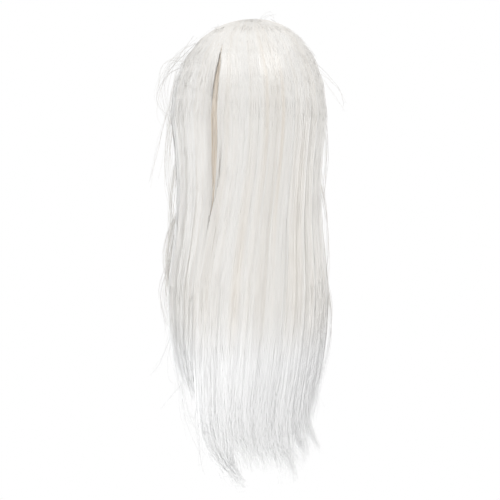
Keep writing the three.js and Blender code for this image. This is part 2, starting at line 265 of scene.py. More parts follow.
FULL_SHARE = 0.5  # of the table's full, the part that a lock's crest takes on
SHUTS_BY = 1.5  # how many times wider a slit counts when its edges are filled
TEMPLE_FILL = 0.3  # the share of the filling that an edge without a neighbour gets
EDGE_ROUND, GROOVE_ROUND = 3, 4  # how flat a lock's crest stays towards a fall's edge, and towards a groove


def hang(fall, lock, across, full, along, start=WHORL_EDGE, pull=1.0, groove=GROOVE_FILL, closing=EDGE_FILL):
    """Where a hair is: lock and across tell its place in the fall, full how near the outside it lies, and
    along how far down its length, from 0 at its root to 1 at its tip. Pull is how far it swings with its lock,
    groove how full the hair is between two locks, and closing how full it is where two falls meet."""
    locks, ends, drop = fall["locks"], fall["ends"], fall["drop"]
    last = len(ends) - 2
    share = np.maximum(along - DOME_SHARE, 0) / (1 - DOME_SHARE) if drop else along
    swing = HAIR_AT_SIDES * pull * progress(share, fall["swings_from"], 1) ** SWINGING

    def ways(length):
        if not drop:
            return lerp(start, FRINGE_FALL * length, along)
        over = lerp(start, 1, np.minimum(along / DOME_SHARE, 1))
        return np.where(along < DOME_SHARE, over, 1 + share * length * drop / BACK_FALL)

    def half_slit(parting, way):
        opened = np.maximum(read(parting, "way", "open", way), 0)
        return degrees_of((HAIR_GAP + PARTING_WIDTH * opened) / 2, parting["angle"][0], way)

    def border(i):
        before, after = np.maximum(i - 1, 0), np.minimum(i, last)
        way = ways(np.minimum(locks["length"][before], locks["length"][after]))
        left = read(fall["left"], "way", "angle", way) - half_slit(fall["left"], way)
        right = read(fall["right"], "way", "angle", way) + half_slit(fall["right"], way)
        sweep = (locks["sweep"][before] + locks["sweep"][after]) / 2
        lift = (locks["lift"][before] + locks["lift"][after]) / 2
        return dict(angle=lerp(left, right, ends[i]), way=way, swept=swing * sweep, lifted=swing * lift)

    a, b = border(lock), border(lock + 1)
    middle = dict(
        angle=(a["angle"] + b["angle"]) / 2,
        way=ways(locks["length"][lock]),
        swept=swing * locks["sweep"][lock],
        lifted=swing * locks["lift"][lock],
    )
    near_left = across < 0.5
    out = np.abs(across - 0.5) * 2

    slit_left = locks["slit"][lock]
    slit_right = locks["slit"][np.minimum(lock + 1, last)]
    free = progress(share, np.where(near_left, slit_left, slit_right), 1)
    first_free = progress(share, np.minimum(slit_left, slit_right), 1)

    def between(key):
        side = np.where(near_left, a[key], b[key])
        return lerp(middle[key], lerp(side, middle[key], free), out)

    way = between("way")
    spread = lerp(1, locks["tip"][lock], free**NARROWING)
    thin = lerp(first_free**THINNING, free**THINNING, out)
    side_angle = np.where(near_left, a["angle"], b["angle"])
    hangs_at = lerp(middle["angle"], side_angle, out * spread)
    angle = hangs_at - degrees_of(between("swept"), hangs_at, way)

    def edge_full(side, parting):
        shut = 1 - np.clip(SHUTS_BY * read(parting, "way", "open", way), 0, 1)
        return lerp(EDGE_FILL, closing, shut if fall["met"][side] else TEMPLE_FILL)

    at_left, at_right = near_left & (lock == 0), ~near_left & (lock == last)
    outer_edge = at_left | at_right
    border_full = np.where(at_left, edge_full(0, fall["left"]), groove)
    border_full = np.where(at_right, edge_full(1, fall["right"]), border_full)
    rounding = np.where(outer_edge, EDGE_ROUND, GROOVE_ROUND)
    crest = lerp(lerp(1, locks["full"][lock], FULL_SHARE), border_full, out**rounding)
    depth = lerp(full * crest, 0.5 + (full - 0.5) * 2 * TIP_FILL, thin)
    turn = np.radians(angle)
    off = np.stack([np.sin(turn), np.cos(turn), np.zeros_like(turn)], axis=-1)
    return in_hair(angle + swirl_at(way), way, depth) + off * between("lifted")[..., None]


WAVE_SIZES = (0.7, 0.3)


def waves(count, along, length):
    """Smooth wander for each hair: about -1 to 1, over waves of about this share of its length."""
    total = np.zeros((count, along.shape[-1]))
    for size in WAVE_SIZES:
        phase = random.uniform(0, 2 * math.pi, (count, 1))
        pace = random.uniform(0.7, 1.4, (count, 1)) / (length * size)
        total += size * np.sin(2 * math.pi * along * pace + phase)
    return total


def mesh_object(name, points, faces, looks, places, slot="hair"):
    """A piece from points, faces as lists of point numbers, named looks for each point and a bake place for
    each corner."""
    mesh = bpy.data.meshes.new(name)
    mesh.vertices.add(len(points))
    mesh.vertices.foreach_set("co", points.astype(np.float32).ravel())
    corners = np.concatenate([f.ravel() for f in faces])
    sizes = np.concatenate([np.full(len(f), f.shape[1]) for f in faces])
    mesh.loops.add(len(corners))
    mesh.loops.foreach_set("vertex_index", corners.astype(np.int32))
    mesh.polygons.add(len(sizes))
    mesh.polygons.foreach_set("loop_start", (np.cumsum(sizes) - sizes).astype(np.int32))
    mesh.polygons.foreach_set("use_smooth", np.ones(len(sizes), bool))
    for look, values in looks.items():
        layer = mesh.attributes.new(look, "FLOAT", "POINT")
        layer.data.foreach_set("value", values.astype(np.float32).ravel())
    bake = mesh.uv_layers.new(name="OFBake")
    bake.data.foreach_set("uv", places.astype(np.float32).ravel())
    mesh.update(calc_edges=True)
    mesh.validate()
    made = bpy.data.objects.new(name, mesh)
    bpy.context.scene.collection.objects.link(made)
    made.data.materials.append(MATERIALS[slot])
    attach(made, "root")
    return made


RING_SHAPE = 4  # how many times a strip's bake place is longer than wide for each of its rings
SIDE_MARGIN, END_MARGIN = 0.08, 0.02  # of a strip's bake place


def strip_places(count, rings, sides):
    """Bake places for tubes: each tube has a strip of its own."""
    columns = math.ceil(math.sqrt(count * rings / RING_SHAPE))
    stacks = math.ceil(count / columns)
    number = np.arange(count)
    left = (number % columns + SIDE_MARGIN) / columns
    right = (number % columns + 1 - SIDE_MARGIN) / columns
    up = END_MARGIN + (1 - 2 * END_MARGIN) * np.arange(rings) / (rings - 1)
    level = ((number // columns)[:, None] + up) / stacks
    shape = (count, rings - 1, sides)
    u = [np.broadcast_to(side[:, None, None], shape) for side in (left, right)]
    v = [np.broadcast_to(side[:, :, None], shape) for side in (level[:, :-1], level[:, 1:])]
    walls = np.stack([np.stack([u[i], v[j]], -1) for i, j in ((0, 0), (1, 0), (1, 1), (0, 1))], axis=-2)
    middle = (left + right) / 2

    def end(at, towards):
        return np.stack([np.stack(c, -1) for c in ((left, at), (right, at), (middle, towards))], axis=-2)

    ends = [end(level[:, 0], level[:, 1]), end(level[:, -1], level[:, -2])]
    return np.concatenate([p.reshape(-1, 2) for p in [walls] + ends])


STRAND_SIDES = 3
STRAND_FLATNESS = 0.16  # a strand's thickness, as a share of its width
STRAND_TURN = 0.06  # radians that strands are turned about their own line, more or less
SMALLEST = 1e-12


def strands(name, paths, radius, looks, flat=STRAND_FLATNESS):
    """Many hairs in one piece, each a closed three-sided tube along its path, flat side in."""
    count, rings, _ = paths.shape
    sides = STRAND_SIDES
    along = np.gradient(paths, axis=1)
    along /= np.linalg.norm(along, axis=2, keepdims=True) + SMALLEST
    outward = np.stack([paths[..., 0], paths[..., 1] + CROWN_BACK, np.full((count, rings), 2 * MM)], axis=-1)
    across = np.cross(along, outward)
    across /= np.linalg.norm(across, axis=2, keepdims=True) + SMALLEST
    upright = np.cross(across, along)
    turn = random.normal(0, STRAND_TURN, (count, 1, 1, 1)) + math.pi / 2
    turn = turn + (np.arange(sides) * 2 * math.pi / sides)[None, None, :, None]
    ring = across[:, :, None] * np.cos(turn) + flat * upright[:, :, None] * np.sin(turn)
    points = paths[:, :, None] + ring * np.broadcast_to(radius, (count, rings))[:, :, None, None]
    number = np.arange(count * rings * sides).reshape(count, rings, sides)
    following = np.roll(number, -1, axis=2)
    walls = np.stack([number[:, :-1], following[:, :-1], following[:, 1:], number[:, 1:]], axis=-1)
    faces = [walls.reshape(-1, 4), number[:, 0, ::-1], number[:, -1]]
    point_looks = {
        look: np.broadcast_to(value, (count, rings))[:, :, None].repeat(sides, axis=2)
        for look, value in looks.items()
    }
    made = mesh_object(name, points.reshape(-1, 3), faces, point_looks, strip_places(count, rings, sides))
    edges = np.empty(2 * len(made.data.edges), np.int32)
    made.data.edges.foreach_get("vertices", edges)
    runs_along = np.abs(np.diff(edges.reshape(-1, 2), axis=1)[:, 0]) == sides
    sharp = made.data.attributes.new("sharp_edge", "BOOLEAN", "EDGE")
    sharp.data.foreach_set("value", runs_along)
    return made


STRAND_CLOSING = 0.93  # how full the strands are where two falls meet
STRAND_GROOVES = (0.97, 0.85)  # and between two locks, at the roots and at the tips


def groove_at(along):
    """How full the strands are between two locks, along their length."""
    return lerp(*STRAND_GROOVES, np.clip(along, 0, 1))


BODY_REACH = 0.91  # the share of a lock's length that its body has
BODY_POINTS = (17, 5)  # points across a lock's outside and inside
BODY_RINGS = (12, 22)  # rings over the dome and below it
FRINGE_RINGS = 18
# How full a body is at its outside and inside, the same at its lower end, and where it starts to thin
BODY_FULL, BODY_END_FULL, BODY_THINS_FROM = (0.92, 0.03), (0.7, 0.4), 0.8
BODY_RIDGE = 0.02  # the height of the ridges, of the hair's thickness
# The body's tone, and how much lighter a ridge's top and darker its hollow are by their height: painted light
# and shade
BODY_TONE, RIDGE_LIGHT_AND_SHADE = 0.4, 5
# How warm a body is at its outside and inside; the inside's greater warmth is painted warm shade
BODY_WARMTH_AND_SHADE = (0.2, 0.5)  # of the outside and the inside
# Beside the slit a body has painted warm shade: over this share of a lock's width, and between these shares of
# its length
WARM_SHADE_WIDTH, WARM_SHADE_LENGTH = 0.3, (0.48, 0.4)
# Margins of a lock's bake place, and half the size of its ends, which lie in the margins
BAKE_SIDE, BAKE_END = 0.03, 0.06
BAKE_CAP = (0.4, 0.02)


def body(name):
    """The hair under a fall's strands: its locks as closed ridged bars."""
    fall = FALLS[name]
    locks = fall["locks"]
    outside, inside = BODY_POINTS
    over_dome, below = BODY_RINGS
    if fall["drop"]:
        along = [np.linspace(0, DOME_SHARE, over_dome)[:-1], np.linspace(DOME_SHARE, 1, below)]
        along = np.concatenate(along) * BODY_REACH
    else:
        along = np.linspace(0, BODY_REACH, FRINGE_RINGS)
    across = np.concatenate([np.linspace(0, 1, outside), np.linspace(1, 0, inside)])
    around, rings, count = len(across), len(along), len(locks["width"])
    shape = (rings, around)
    points, tones, warms, walls, ends, wall_places, end_places = [], [], [], [], [], [], []
    corners = ((0, 0), (1, 0), (1, 1), (0, 1))
    circle = np.linspace(0, 2 * math.pi, around, endpoint=False)
    for i in range(count):
        ridge = random.uniform(-BODY_RIDGE, BODY_RIDGE, outside)
        ridge[[0, -1]] = 0
        full = np.concatenate([BODY_FULL[0] + ridge, np.full(inside, BODY_FULL[1])])
        ending = progress(along[:, None] / BODY_REACH, BODY_THINS_FROM, 1) ** 2
        full = lerp(full, np.where(np.arange(around) < outside, *BODY_END_FULL), ending)
        places = [np.broadcast_to(value, shape) for value in (i, across, full, along[:, None])]
        at = hang(fall, *places, groove=groove_at(along)[:, None], closing=STRAND_CLOSING)
        number = i * rings * around + np.arange(rings * around).reshape(shape)
        following = np.roll(number, -1, axis=1)
        walls.append(np.stack([number[:-1], number[1:], following[1:], following[:-1]], -1).reshape(-1, 4))
        ends += [number[0], number[-1, ::-1]]
        points.append(at.reshape(-1, 3))
        # painted light and shade: higher ridges lighter, lower ones darker
        tone = np.concatenate([BODY_TONE + RIDGE_LIGHT_AND_SHADE * ridge, np.full(inside, BODY_TONE)])
        tones.append(np.broadcast_to(tone, shape))
        # painted warm shade on the inside of each lock, and beside the slit
        warm = np.concatenate([np.full(outside, BODY_WARMTH_AND_SHADE[0]), np.full(inside, BODY_WARMTH_AND_SHADE[1])])
        by_slit = {"back_hair": i == 0, "left_side_hair": i == count - 1}.get(name, False)
        if by_slit:
            from_slit = across if name == "back_hair" else 1 - across
            warm = np.maximum(warm, (1 - from_slit / WARM_SHADE_WIDTH) * progress(along[:, None], *WARM_SHADE_LENGTH))
        warms.append(np.broadcast_to(warm, shape))
        u = (i + BAKE_SIDE + (1 - 2 * BAKE_SIDE) * np.arange(around + 1) / around) / count
        v = BAKE_END + (1 - 2 * BAKE_END) * np.arange(rings) / (rings - 1)
        grid = [(u[c : c + around], v[r : r + rings - 1, None]) for r, c in corners]
        grid = [np.stack(np.broadcast_arrays(*sides), -1) for sides in grid]
        wall_places.append(np.stack(grid, axis=-2).reshape(-1, 2))
        for level in (BAKE_END / 2, 1 - BAKE_END / 2):
            round_u = (i + 0.5 + BAKE_CAP[0] * np.cos(circle)) / count
            end_places.append(np.stack([round_u, level + BAKE_CAP[1] * np.sin(circle)], -1))
    faces = [np.concatenate(walls), np.array(ends)]
    looks = {"tone": np.concatenate(tones), "warm": np.concatenate(warms)}
    places = np.concatenate(wall_places + end_places)
    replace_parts(mesh_object(name + "_body", np.concatenate(points), faces, looks, places), name)


# Bands of painted shade on the back hair, darker or warmer than the rest: where they lie across the fall, how
# wide they are, from and to which share of its length they show, and how much darker and warmer they make it
BANDS = rows(
    "place width start end darker warmer",
    (0.01, 0.03, 0.1, 0.5, 0.05, 0.15),
    (0.30, 0.012, 0.1, 0.45, 0.2, 0.3),
    (0.40, 0.012, 0.2, 0.50, 0.1, 0.4),
    (0.55, 0.040, 0.3, 0.75, 0.5, 0.2),
    (0.22, 0.020, 0.4, 0.80, 0.3, 0.2),
)


BAND_START, BAND_END = 0.03, 0.05  # over how much of the length a band comes and goes


def shade(place, along, column):
    """How much darker or warmer the bands of painted shade make the hair at a place."""
    total = np.zeros(np.broadcast_shapes(place.shape, along.shape))
    for i in range(len(BANDS["place"])):
        beside = np.exp(-(((place - BANDS["place"][i]) / BANDS["width"][i]) ** 2))
        inside = 1 / (1 + np.exp(-(along - BANDS["start"][i]) / BAND_START))
        inside = inside / (1 + np.exp((along - BANDS["end"][i]) / BAND_END))
        total = total + BANDS[column][i] * beside * inside
    return total


# The places of a hair's rings, as shares of the dome, of the drop below it and of an inner hair's length
DOME_RINGS = np.array([0, 0.2, 0.4, 0.6, 0.8, 1])
DROP_RINGS = np.array([0.06, 0.15, 0.3, 0.46, 0.6, 0.73, 0.83, 0.91, 0.96, 1])
INNER_RINGS = np.array([0, 0.1, 0.22, 0.36, 0.5, 0.63, 0.75, 0.85, 0.93, 1])
RINGS_APART = 0.02  # how far a long hair's rings lie from those of the next
FRINGE_STRAND_RINGS = 11
STRAND_RADIUS = 0.5 * MM

# How far the strands keep from the slit's two sides, as a share of the fall's width, along its length
SLIT_CLEAR = {
    "back_hair": ([0.2, 0.31, 0.37, 0.43, 0.5], [0, 0, 0.002, 0.006, 0]),
    "left_side_hair": ([0.2, 0.26, 0.31, 0.4, 0.46], [0, 0.012, 0.014, 0.01, 0]),
}
FALL_EDGE = 0.001  # how near a strand comes to its fall's edge, of the fall's width

WISP_WANDER, HAIR_WANDER = 1.5 * MM, 0.6 * MM
WANDER_WIDTH = {"back_hair": 200 * MM}  # the width of a fall that a wander is a share of
SIDE_WANDER_WIDTH = 130 * MM
WANDER_EDGE = 0.05  # of a fall's width, the part at its edge where hairs wander less
DEPTH_APART, DEPTH_WAVE = 0.012, 0.01  # how unlike the hairs of a wisp are in depth, and how much one waves

TONE_WAVES = (3, 7, 13, 23)  # waves of tone across a fall
MIDDLE_TONE, TONE_SWING, TONE_APART = 0.6, 0.4, 0.05
MIDDLE_WARMTH, WARMTH_SWING, WARMTH_APART = 0.07, 0.12, 0.02
DARK_HAIRS = 0.03  # the share of hairs that look greyer than the rest
LEAST_TONE, LEAST_DARK_TONE, LEAST_BAND_TONE = 0.25, 0.05, 0.2
CALM_TONE, CALM_SHARE, CALM_LENGTH = 0.6, 0.6, (0.6, 0.8)  # towards its tip a hair's tone nears one value
ROOT_TONE, ROOT_FADE = 0.3, 2
# Painted shade at the tips: how much darker the longest hairs grow, and over which share of the length
TIP_SHADE, TIP_LENGTH = 0.4, (0.94, 1)

SWEPT_ON = 0.6  # the share of hairs that swing further than their lock
TIPS_APART = np.array([2.2, 2.2, 0.66]) * MM


def fall_strands(name, suffix, count, wisps, depths=(0.975, 1.0), ragged=0.04, roots=0.06):
    """Hairs of a fall in wisps that follow its locks, with small wanders and uneven ends."""
    fall = FALLS[name]
    ends = fall["ends"]
    middle = (np.arange(wisps) + random.uniform(0.1, 0.9, wisps)) / wisps
    wisp = random.integers(0, wisps, count)
    place = middle[wisp] + random.normal(0, 1 / wisps, count)
    place = np.clip(place, 2 * FALL_EDGE, 1 - 2 * FALL_EDGE)
    depth = random.uniform(*depths, wisps)[wisp] + random.normal(0, DEPTH_APART, count)

    broad, yellow = (
        sum(np.sin(2 * math.pi * (pace * middle + random.uniform())) for pace in TONE_WAVES) / len(TONE_WAVES)
        for _ in range(2)
    )
    tone = (MIDDLE_TONE + TONE_SWING * broad + random.normal(0, TONE_APART, wisps))[wisp]
    tone = tone + random.normal(0, TONE_APART, count)
    dark = random.uniform(0, 1, count) < DARK_HAIRS
    tone = np.maximum(tone, np.where(dark, LEAST_DARK_TONE, LEAST_TONE))
    warm = np.clip(MIDDLE_WARMTH + WARMTH_SWING * yellow, 0, 1)[wisp] + random.normal(0, WARMTH_APART, count)

    end = np.clip(1.03 - ragged * random.gamma(2.0, 1.0, count), 1 - 6 * ragged, 1.02)[:, None]
    if fall["drop"]:
        dome = np.broadcast_to(DOME_RINGS * DOME_SHARE, (count, len(DOME_RINGS)))
        along = np.concatenate([dome, DOME_SHARE + DROP_RINGS * (end - DOME_SHARE)], axis=1)
        shift = random.uniform(-RINGS_APART, RINGS_APART, (count, 1))
        along = along + shift * np.sin(np.linspace(0, math.pi, along.shape[1]))
    else:
        along = np.linspace(0, 1, FRINGE_STRAND_RINGS)[None] * end

    wisp_wave = waves(wisps, along[:1], 0.9)[wisp]
    own_wave = waves(count, along, 0.8)
    near_edge = np.clip(np.minimum(place, 1 - place) / WANDER_EDGE, 0.1, 1)[:, None]
    loose = np.clip(along * 1.6, 0, 1) * near_edge / WANDER_WIDTH.get(name, SIDE_WANDER_WIDTH)
    place = place[:, None] + (WISP_WANDER * wisp_wave + HAIR_WANDER * own_wave) * loose
    clear = np.interp(along, *SLIT_CLEAR[name]) if name in SLIT_CLEAR else 0
    clear_left, clear_right = (clear, 0) if name == "back_hair" else (0, clear)
    place = np.clip(place, FALL_EDGE + clear_left, 1 - FALL_EDGE - clear_right)

    lock, across = lock_at(ends, place)
    start = random.uniform(0.01, roots, (count, 1))
    pull = 1.0 - 0.15 * random.exponential(1, count)
    swept_on = (random.uniform(0, 1, count) < SWEPT_ON) & (fall["locks"]["sweep"][lock[:, 0]] < 1)
    pull = np.where(swept_on, 1.3 + 1.4 * random.exponential(1, count), pull)[:, None]
    full = depth[:, None] + DEPTH_WAVE * own_wave
    paths = hang(fall, lock, across, full, along, start, pull, groove_at(along), STRAND_CLOSING)
    fan = random.normal(0, 1, (count, 3)) * TIPS_APART
    paths = paths + fan[:, None] * (np.clip(along, 0, 1) ** 6)[..., None]

    taper = lerp(0.3, 1, progress(along / end, 1, 0.7) ** 0.7) * np.clip(along / 0.05, 0.4, 1)
    thick = STRAND_RADIUS * random.uniform(0.7, 1.25, (count, 1)) * taper
    tones = lerp(tone[:, None], CALM_TONE, CALM_SHARE * progress(along, *CALM_LENGTH))
    # the longest hairs darken at their tips as painted shade
    tones = np.maximum(tones, ROOT_TONE - ROOT_FADE * along) - TIP_SHADE * progress(along, *TIP_LENGTH)
    warms = np.broadcast_to(warm[:, None], along.shape)
    # painted shade: darker and warmer bands on the back hair
    if name == "back_hair":
        tones = np.maximum(tones - shade(place, along, "darker"), np.minimum(tones, LEAST_BAND_TONE))
        warms = warms + shade(place, along, "warmer")
    strands(name + suffix, paths, thick, {"tone": tones, "warm": warms})


def lock_at(ends, place):
    """The lock that each hair belongs to, and its place across that lock."""
    lock = np.clip(np.searchsorted(ends, place.mean(axis=1)) - 1, 0, len(ends) - 2)
    lock = np.broadcast_to(lock[:, None], place.shape)
    return lock, np.clip((place - ends[lock]) / (ends[lock + 1] - ends[lock]), 0, 1)


def plain_looks(count, tones=(0.3, 0.8), warmest=0.15):
    return {"tone": random.uniform(*tones, (count, 1)), "warm": random.uniform(0, warmest, (count, 1))}


THIN_ENDS = [0.5, 1, 1, 0.3]  # the share of its radius that a hair has at its root, between, and at its tip
FINER = 0.8  # the radius of the hairs at the crown and the partings, as a share of the others'
THICKER = 1.6  # and of the inner hairs


def crown_strands(count):
    """Short hairs that radiate from the whorl over the roots of every fall."""
    reach = random.uniform(0.12, 0.5, (count, 1))
    way = 0.012 + np.linspace(0, 1, 10)[None] ** 1.3 * reach
    angle = random.uniform(0, 360, (count, 1)) + 1.2 * waves(count, way, 0.4) + swirl_at(way)
    full = random.uniform(0.955, 1.0, (count, 1)) - 0.05 * (way / reach) ** 4
    looks = plain_looks(count, tones=(0.2, 0.8), warmest=0.2)
    taper = np.interp(way / reach, [0, 0.15, 0.7, 1], THIN_ENDS)
    strands("crown_strands", in_hair(angle, way, full), FINER * STRAND_RADIUS * taper, looks)


def inner_strands(name, count, start, temple=None, at_temple=0):
    """Hairs on the inner side of a fall, from the cap's edge to the tips, and some at the temple's edge."""
    fall = FALLS[name]
    place = (np.arange(count) + random.uniform(0, 1, count)) / count
    inside = np.arange(count) >= at_temple
    if temple is not None:
        place = np.where(inside, place, np.abs(temple - random.uniform(0, 0.004, count)))
    end = random.uniform(0.86, 1.0, (count, 1))
    along = start + INNER_RINGS * (end - start)
    edge = np.minimum(place, 1 - place)[:, None]
    place = np.clip(place[:, None] + np.minimum(0.008, edge) * waves(count, along, 0.6), 0, 1)
    lock, across = lock_at(fall["ends"], place)
    full = np.where(inside, random.uniform(-0.03, 0.03, count), random.uniform(0, 1.6, count))[:, None]
    full = full + DEPTH_WAVE * waves(count, along, 0.5)
    paths = hang(fall, lock, across, full, along, 0.03)
    taper = np.interp(INNER_RINGS, [0, 0.1, 0.8, 1], THIN_ENDS)
    strands(name + "_inner_strands", paths, THICKER * STRAND_RADIUS * taper, plain_looks(count))


def parting_strands(name, parting, count, first, last, half_width, beside=0.16, rings=12):
    """Hairs that lie along a parting and hide its line. They start at the first way or later and end between
    the last two, and those beside the parting end further on."""
    side = random.uniform(-1, 1, (count, 1))
    begin = first + random.uniform(0, 0.4, (count, 1)) * (last[0] - first)
    reach = random.uniform(*last, (count, 1)) + beside * np.abs(side)
    share = np.linspace(0, 1, rings)[None]
    way = begin + share * (reach - begin)
    angle = read(parting, "way", "angle", way) + half_width * (side + 0.1 * waves(count, way, 0.5))
    full = random.uniform(0.93, 0.99, (count, 1)) - 0.1 * share**5 - 0.06 * (1 - share) ** 5
    taper = np.interp(share, [0, 0.2, 0.7, 1], THIN_ENDS)
    paths = in_hair(angle + swirl_at(way), way, full)
    strands(name, paths, FINER * STRAND_RADIUS * taper, plain_looks(count))


# The under-hair in the slit comes near the outside at its top, and has painted shade at one height
SLIT_TOP, SLIT_TOP_LENGTH, SLIT_TOP_RISE, SLIT_FULLEST = 0.48, 0.1, 0.45, 0.92
SLIT_SHADE_WAY, SLIT_SHADE_LENGTH, SLIT_SHADE_DARKER = 0.8, 0.08, 0.2


def slit_strands(count):
    """Under-hair that shows in the slit behind the wearer's left ear, beige with painted warm shade and darker
    at one height with painted shade.
    """
    way = np.linspace(0.3, 1.6, 15)[None] + random.uniform(-0.05, 0.05, (count, 1))
    angle = read(LEFT_PARTING, "way", "angle", way) + random.uniform(-8, 8, (count, 1))
    angle = angle + 0.6 * waves(count, way / 2, 0.5)
    full = random.uniform(0.25, 0.7, (count, 1)) + 0.02 * waves(count, way / 2, 0.4)
    at_top = np.exp(-(((way - SLIT_TOP) / SLIT_TOP_LENGTH) ** 2))
    full = np.minimum(full + SLIT_TOP_RISE * at_top, SLIT_FULLEST)
    # painted shade at one height in the slit
    at_slit_shade = np.exp(-(((way - SLIT_SHADE_WAY) / SLIT_SHADE_LENGTH) ** 2))
    tone = random.uniform(0.3, 0.9, (count, 1)) - SLIT_SHADE_DARKER * at_slit_shade
    # beige warmth: painted warm shade in the slit
    looks = {"tone": tone, "warm": random.uniform(0.5, 1.1, (count, 1))}
    ends = np.sin(np.linspace(0, math.pi, way.shape[1])) ** 0.4
    strands("slit_strands", in_hair(angle, way, full), STRAND_RADIUS * lerp(0.4, 1, ends), looks)


CAMERA_TURN = math.radians(160)
CAMERA_RISE = math.radians(2.5)
IMAGE_RIGHT = np.array([math.cos(CAMERA_TURN), math.sin(CAMERA_TURN), 0])
TO_CAMERA = np.array([math.sin(CAMERA_TURN), -math.cos(CAMERA_TURN), 0])

# Loose hairs by the outline, in millimetres as the camera sees them: across from the crown, down from the top
# of the hair, and near the camera. Each group has a root, a bulge and an end, and the spread of its ends.
LOOSE = rows(
    "across down to_across to_down end_across end_down near count spread",
    (-70, 25, -118, 78, -106, 128, -30, 5, 9),
    (-84, 50, -112, 70, -100, 135, -30, 8, 10),
    (-86, 50, -102, 110, -106, 190, -30, 12, 11),
    (-100, 90, -118, 160, -130, 212, -34, 4, 4),
    (-95, 100, -106, 180, -98, 262, -30, 10, 10),
    (-90, 170, -102, 240, -98, 310, -30, 20, 8),
    (-90, 250, -108, 300, -100, 360, -30, 30, 8),
    (-90, 270, -106, 330, -94, 400, -28, 26, 8),
    (-95, 300, -112, 352, -104, 410, -30, 10, 9),
    (-100, 380, -110, 430, -129, 462, -34, 3, 3),
    (-92, 370, -100, 430, -92, 478, -30, 14, 9),
    (-84, 470, -94, 482, -116, 505, -32, 3, 3),
    (-76, 440, -84, 490, -70, 535, -25, 16, 12),
    (-62, 480, -66, 530, -58, 575, -10, 8, 8),
    (60, 30, 96, 72, 122, 118, 5, 3, 5),
    (84, 60, 112, 84, 124, 112, 5, 3, 5),
    (92, 80, 100, 150, 96, 230, -5, 8, 5),
    (92, 200, 102, 280, 98, 350, -5, 9, 6),
    (98, 330, 106, 390, 92, 470, -5, 12, 6),
    (96, 400, 94, 460, 82, 520, -5, 12, 7),
    (10, 8, 24, -8, 34, 2, 0, 3, 4),
    (-40, 12, -50, 20, -80, 50, 0, 8, 6),
    (30, 5, 60, 18, 84, 48, 0, 8, 6),
)


def loose_strands():
    """Loose hairs round the outline, each on a bend through its group's three places."""
    count = LOOSE["count"].astype(int)
    group = np.repeat(np.arange(len(count)), count)
    total = len(group)
    t = np.linspace(0, 1, 12)[None, :, None]
    root, bulge, end = (
        np.stack([LOOSE[a][group], -LOOSE[d][group], LOOSE["near"][group]], -1)[:, None]
        for a, d in (("across", "down"), ("to_across", "to_down"), ("end_across", "end_down"))
    )
    spread = LOOSE["spread"][group][:, None, None]
    root = root + random.normal(0, 0.5, (total, 1, 3)) * spread * [0.6, 1.5, 2]
    bulge = bulge + random.normal(0, 0.5, (total, 1, 3)) * spread * [0.7, 1.5, 2]
    end = end + random.normal(0, 0.6, (total, 1, 3)) * spread * [0.8, 1.5, 2]
    handle = 2 * bulge - (root + end) / 2
    bend = (1 - t) ** 2 * root + 2 * t * (1 - t) * handle + t**2 * end
    bend = bend + waves(total, t[..., 0], 0.7)[..., None] * [0.8, 0, 0.8]
    top = HAIR_HEIGHT - CROWN_HEIGHT
    across, up, near = (bend[..., i, None] * MM for i in range(3))
    paths = across * IMAGE_RIGHT + near * TO_CAMERA + np.array([0, -CROWN_BACK, top]) + up * [0, 0, 1]
    thick = random.uniform(0.16, 0.32, (total, 1)) * MM * np.linspace(1, 0.5, 12)[None]
    # grey tones: painted shade on the loose hairs
    looks = {"tone": random.uniform(-0.05, 0.4, (total, 1)), "warm": random.uniform(0, 0.2, (total, 1))}
    strands("loose_strands", paths, thick, looks, flat=0.9)


def ramp(nodes, dark, light, grey=None):
    """A ramp between two colours, with a grey below them if one is given."""
    made = nodes.new("ShaderNodeValToRGB")
    made.color_ramp.elements[0].color = (*(grey or dark), 1)
    made.color_ramp.elements[1].color = (*light, 1)
    if grey:
        made.color_ramp.elements.new(0.2).color = (*dark, 1)
    return made


def mixed(nodes, links, factor, a, b):
    made = nodes.new("ShaderNodeMix")
    made.data_type = "RGBA"
    links.new(factor, made.inputs["Factor"])
    links.new(a, made.inputs["A"])
    links.new(b, made.inputs["B"])
    return made.outputs["Result"]


# The grey and brown that the lowest tones reach: greyer hairs, and painted shade at the tips, in the bands, in
# the slit and on the loose hairs
GREY_AND_SHADE = (0.45, 0.45, 0.45)
BROWN_AND_SHADE = (0.56, 0.40, 0.26)
# The heights between which ivory hair turns white and lighter; the extra lightness is painted light
LIT_WHITE_FROM, LIT_WHITE_BELOW = -0.34, -0.43  # the heights between which ivory hair turns white


